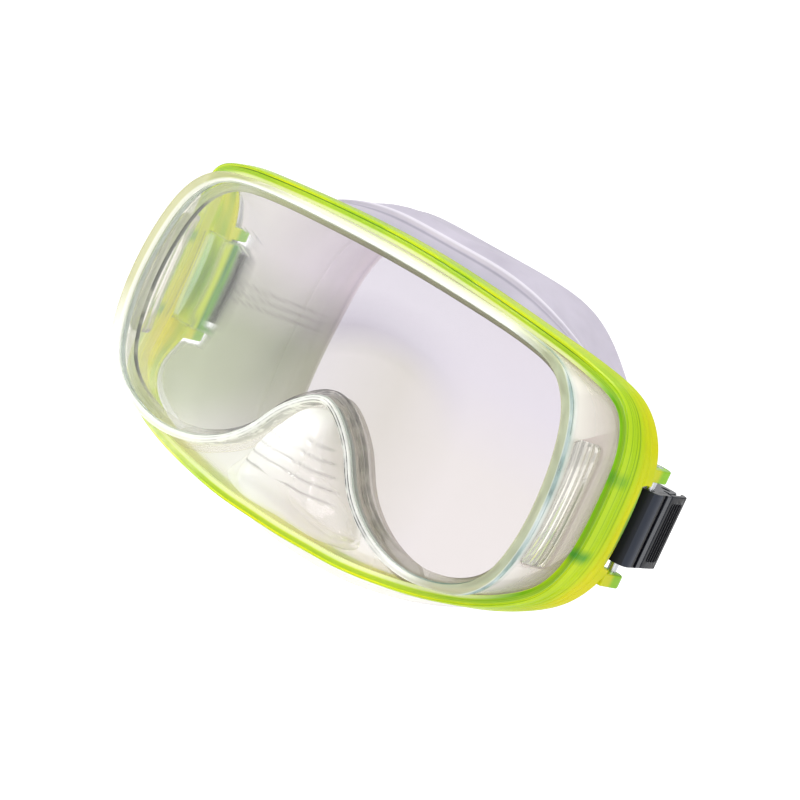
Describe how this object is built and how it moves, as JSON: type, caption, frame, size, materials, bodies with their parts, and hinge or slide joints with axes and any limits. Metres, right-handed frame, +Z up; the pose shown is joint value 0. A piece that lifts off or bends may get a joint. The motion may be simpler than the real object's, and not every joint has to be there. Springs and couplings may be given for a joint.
{
  "type": "diving mask",
  "caption": "Panoramic diving mask with a one-piece front lens, clear side panes, clamp ring, soft face skirt with nose pocket and swivelling strap buckles.",
  "frame": {"origin": "middle of the front lens's flat outer face, on the mask's plane of symmetry", "axes": "the mask faces -Y; +X is the viewer's right when looking at the front; +Z is up, from nose to forehead"},
  "size_m": [0.1814, 0.083, 0.1082],
  "materials": {
    "lens_glass": "tempered clear glass with a blue-green edge",
    "gasket": "olive translucent sealing bead",
    "frame_clear": "polished clear moulded plastic",
    "side_pane": "polished clear flat pane",
    "ring_neon": "translucent yellow-green moulded plastic",
    "skirt_silicone": "milky translucent silicone",
    "buckle_black": "black moulded plastic, satin plate",
    "steel": "stainless steel wire and pin"
  },
  "bodies": {
    "mask": {"front_lens": "lens_glass", "front_lens_gasket": "gasket", "lens_frame": "frame_clear", "side_lens_right": "side_pane", "side_lens_left": "side_pane", "clamp_ring": "ring_neon", "skirt": "skirt_silicone", "pivot_pin_right": "steel", "pivot_pin_left": "steel"},
    "buckle_right": {"buckle_body_right": "buckle_black", "lever_pin_right": "steel", "lever_spring_right": "steel"},
    "lever_right": {"release_lever_right": "buckle_black"},
    "roller_right": {"strap_roller_right": "buckle_black"},
    "buckle_left": {"buckle_body_left": "buckle_black", "lever_pin_left": "steel", "lever_spring_left": "steel"},
    "lever_left": {"release_lever_left": "buckle_black"},
    "roller_left": {"strap_roller_left": "buckle_black"}
  },
  "joints": [
    {"name": "buckle_swivel_right", "type": "hinge", "parent": "mask", "child": "buckle_right", "pos_m": [0.086, 0.043, -0.00165], "axis": [0, 0, 1], "range_deg": [-25, 10]},
    {"name": "buckle_swivel_left", "type": "hinge", "parent": "mask", "child": "buckle_left", "pos_m": [-0.086, 0.043, -0.00165], "axis": [0, 0, -1], "range_deg": [-25, 10]},
    {"name": "lever_press_right", "type": "hinge", "parent": "buckle_right", "child": "lever_right", "pos_m": [0.08528, 0.05343, -0.00165], "axis": [0, 0, 1], "range_deg": [0, 6]},
    {"name": "lever_press_left", "type": "hinge", "parent": "buckle_left", "child": "lever_left", "pos_m": [-0.08528, 0.05343, -0.00165], "axis": [0, 0, -1], "range_deg": [0, 6]},
    {"name": "roller_spin_right", "type": "hinge", "parent": "buckle_right", "child": "roller_right", "pos_m": [0.08238, 0.05719, -0.00165], "axis": [0, 0, 1], "continuous": true},
    {"name": "roller_spin_left", "type": "hinge", "parent": "buckle_left", "child": "roller_left", "pos_m": [-0.08238, 0.05719, -0.00165], "axis": [0, 0, -1], "continuous": true}
  ]
}
